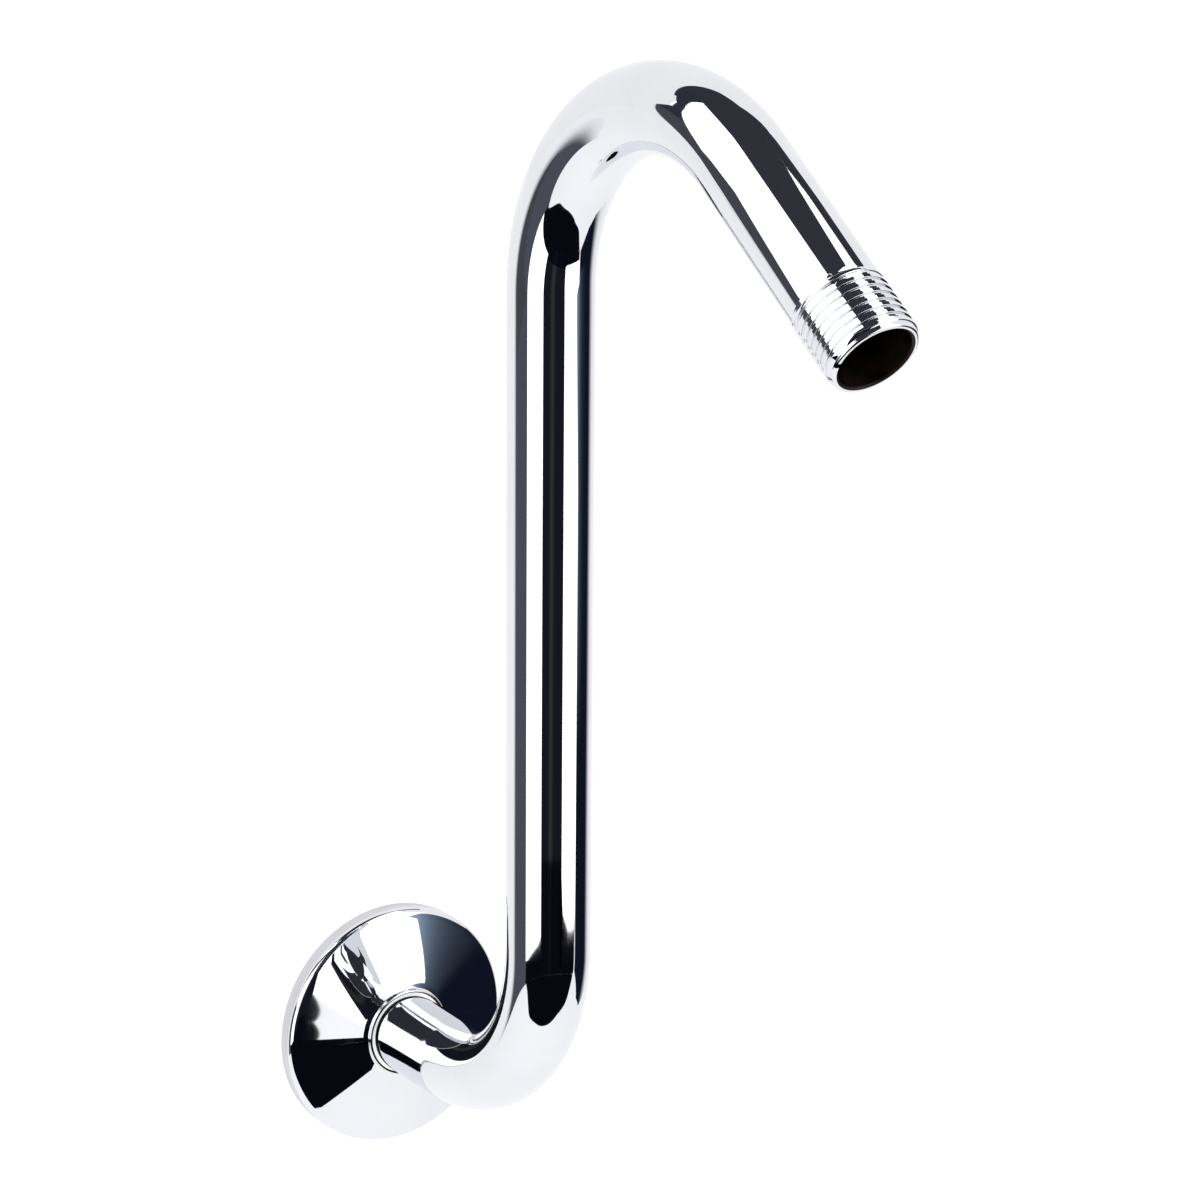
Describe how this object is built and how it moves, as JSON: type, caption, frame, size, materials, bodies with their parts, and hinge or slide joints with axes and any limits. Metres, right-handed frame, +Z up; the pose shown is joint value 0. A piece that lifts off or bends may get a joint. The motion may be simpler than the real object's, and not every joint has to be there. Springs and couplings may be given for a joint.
{
  "type": "shower arm",
  "caption": "Rising S-shaped shower arm: a bent chrome tube with a pipe thread on each end and a loose cone-shaped cover flange that slides on its wall stub.",
  "frame": {"origin": "centre of the flange's back edge, where the stub's axis meets the face of the wall", "axes": "+X out of the wall along the stub, +Z up along the riser; the tube bends in the plane Y = 0"},
  "size_m": [0.226, 0.0654, 0.2987],
  "materials": {
    "arm_chrome": "polished chrome plate on brass tube",
    "flange_chrome": "polished chrome plate on pressed sheet"
  },
  "bodies": {
    "arm": {"arm": "arm_chrome"},
    "flange": {"flange": "flange_chrome"}
  },
  "joints": [
    {"name": "flange_slide", "type": "slide", "parent": "arm", "child": "flange", "axis": [1, 0, 0], "range_m": [0, 0.0206]}
  ]
}
